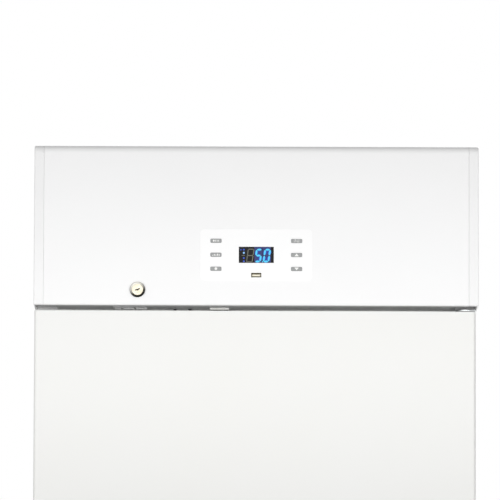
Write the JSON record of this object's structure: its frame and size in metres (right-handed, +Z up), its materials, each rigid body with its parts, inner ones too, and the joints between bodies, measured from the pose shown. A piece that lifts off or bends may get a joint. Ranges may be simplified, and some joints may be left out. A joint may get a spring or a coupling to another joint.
{
  "type": "medical refrigerator",
  "caption": "Tall white medical refrigerator with a solid hinged door, glass shelves and a header housing with cam lock, keypad, temperature display and USB socket.",
  "frame": {"origin": "middle of the footprint on the floor", "axes": "+Z up, -Y towards the door's front, +X to the right seen from the front"},
  "size_m": [0.6, 0.6315, 2.022],
  "materials": {
    "white_coated_steel": "satin",
    "galvanised_sheet": "satin",
    "white_plastic": "satin",
    "liner_plastic": "satin",
    "rigid_foam": "matte",
    "overlay_film": "satin",
    "grey_keys": "satin",
    "dark_window": "gloss",
    "board_laminate": "satin",
    "nickel_plate": "polished",
    "zinc_steel": "satin",
    "grey_rubber": "matte",
    "black_rubber": "matte",
    "clear_glass": "gloss",
    "fin_aluminium": "satin",
    "black_plastic": "satin",
    "lamp_diffuser": "satin",
    "probe_steel": "satin",
    "black_enamel": "gloss",
    "copper_tube": "satin"
  },
  "bodies": {
    "cabinet": {"cabinet_shell": "white_coated_steel", "cabinet_liner": "liner_plastic", "cabinet_insulation": "rigid_foam", "back_panel": "galvanised_sheet", "base_frame": "galvanised_sheet", "machine_bay_panel": "galvanised_sheet", "plinth_grille": "white_plastic", "roller_axles": "zinc_steel", "header_front": "white_coated_steel", "header_left_cap": "white_plastic", "header_right_cap": "white_plastic", "header_tray": "white_coated_steel", "header_cover": "white_coated_steel", "control_overlay": "overlay_film", "display_window": "dark_window", "controller_board": "board_laminate", "usb_socket": "nickel_plate", "lock_barrel": "nickel_plate", "door_switch": "white_plastic", "upper_hinge_bracket": "zinc_steel", "lower_hinge_bracket": "zinc_steel", "hinge_pins": "zinc_steel", "shelf_glass": "clear_glass", "shelf_trims": "white_plastic", "evaporator_cover": "white_plastic", "evaporator": "fin_aluminium", "fan_frame": "black_plastic", "interior_light": "lamp_diffuser", "temperature_probe": "probe_steel", "drain_tube": "black_plastic", "compressor": "black_enamel", "compressor_grommets": "black_rubber", "relay_cover": "black_plastic", "evaporation_tray": "black_plastic", "condenser_tube": "black_enamel", "condenser_grid": "black_enamel", "discharge_tube": "copper_tube", "filter_drier": "copper_tube", "mains_inlet": "black_plastic"},
    "door": {"door_skin": "white_coated_steel", "door_top_cap": "white_plastic", "door_bottom_cap": "white_plastic", "hinge_bushes": "white_plastic", "door_liner": "liner_plastic", "door_insulation": "rigid_foam", "door_grip": "white_plastic", "door_gasket": "grey_rubber"},
    "lock": {"lock_plug": "nickel_plate", "lock_cam": "zinc_steel"},
    "fan": {"fan_rotor": "black_plastic"},
    "foot_left": {"foot_left": "black_plastic"},
    "foot_right": {"foot_right": "black_plastic"},
    "roller_left": {"roller_left": "black_plastic"},
    "roller_right": {"roller_right": "black_plastic"},
    "key_1": {"key_1": "grey_keys"},
    "key_2": {"key_2": "grey_keys"},
    "key_3": {"key_3": "grey_keys"},
    "key_4": {"key_4": "grey_keys"},
    "key_5": {"key_5": "grey_keys"},
    "key_6": {"key_6": "grey_keys"}
  },
  "joints": [
    {"name": "door_swing", "type": "hinge", "parent": "cabinet", "child": "door", "pos_m": [0.2829, -0.28335, 0.93], "axis": [0, 0, 1], "range_deg": [0, 110]},
    {"name": "lock_turn", "type": "hinge", "parent": "cabinet", "child": "lock", "pos_m": [-0.16, -0.31335, 1.826], "axis": [0, -1, 0], "range_deg": [0, 90]},
    {"name": "fan_spin", "type": "hinge", "parent": "cabinet", "child": "fan", "pos_m": [0, 0.16, 1.613], "axis": [0, 1, 0], "continuous": true},
    {"name": "foot_left_screw", "type": "slide", "parent": "cabinet", "child": "foot_left", "axis": [0, 0, -1], "range_m": [0, 0.012]},
    {"name": "roller_left_spin", "type": "hinge", "parent": "cabinet", "child": "roller_left", "pos_m": [-0.25, 0.25665, 0.013], "axis": [1, 0, 0], "continuous": true},
    {"name": "foot_right_screw", "type": "slide", "parent": "cabinet", "child": "foot_right", "axis": [0, 0, -1], "range_m": [0, 0.012]},
    {"name": "roller_right_spin", "type": "hinge", "parent": "cabinet", "child": "roller_right", "pos_m": [0.25, 0.25665, 0.013], "axis": [1, 0, 0], "continuous": true},
    {"name": "key_1_press", "type": "slide", "parent": "cabinet", "child": "key_1", "axis": [0, 1, 0], "range_m": [0, 0.0005], "stiffness_N_per_m": 1000},
    {"name": "key_2_press", "type": "slide", "parent": "cabinet", "child": "key_2", "axis": [0, 1, 0], "range_m": [0, 0.0005], "stiffness_N_per_m": 1000},
    {"name": "key_3_press", "type": "slide", "parent": "cabinet", "child": "key_3", "axis": [0, 1, 0], "range_m": [0, 0.0005], "stiffness_N_per_m": 1000},
    {"name": "key_4_press", "type": "slide", "parent": "cabinet", "child": "key_4", "axis": [0, 1, 0], "range_m": [0, 0.0005], "stiffness_N_per_m": 1000},
    {"name": "key_5_press", "type": "slide", "parent": "cabinet", "child": "key_5", "axis": [0, 1, 0], "range_m": [0, 0.0005], "stiffness_N_per_m": 1000},
    {"name": "key_6_press", "type": "slide", "parent": "cabinet", "child": "key_6", "axis": [0, 1, 0], "range_m": [0, 0.0005], "stiffness_N_per_m": 1000}
  ]
}
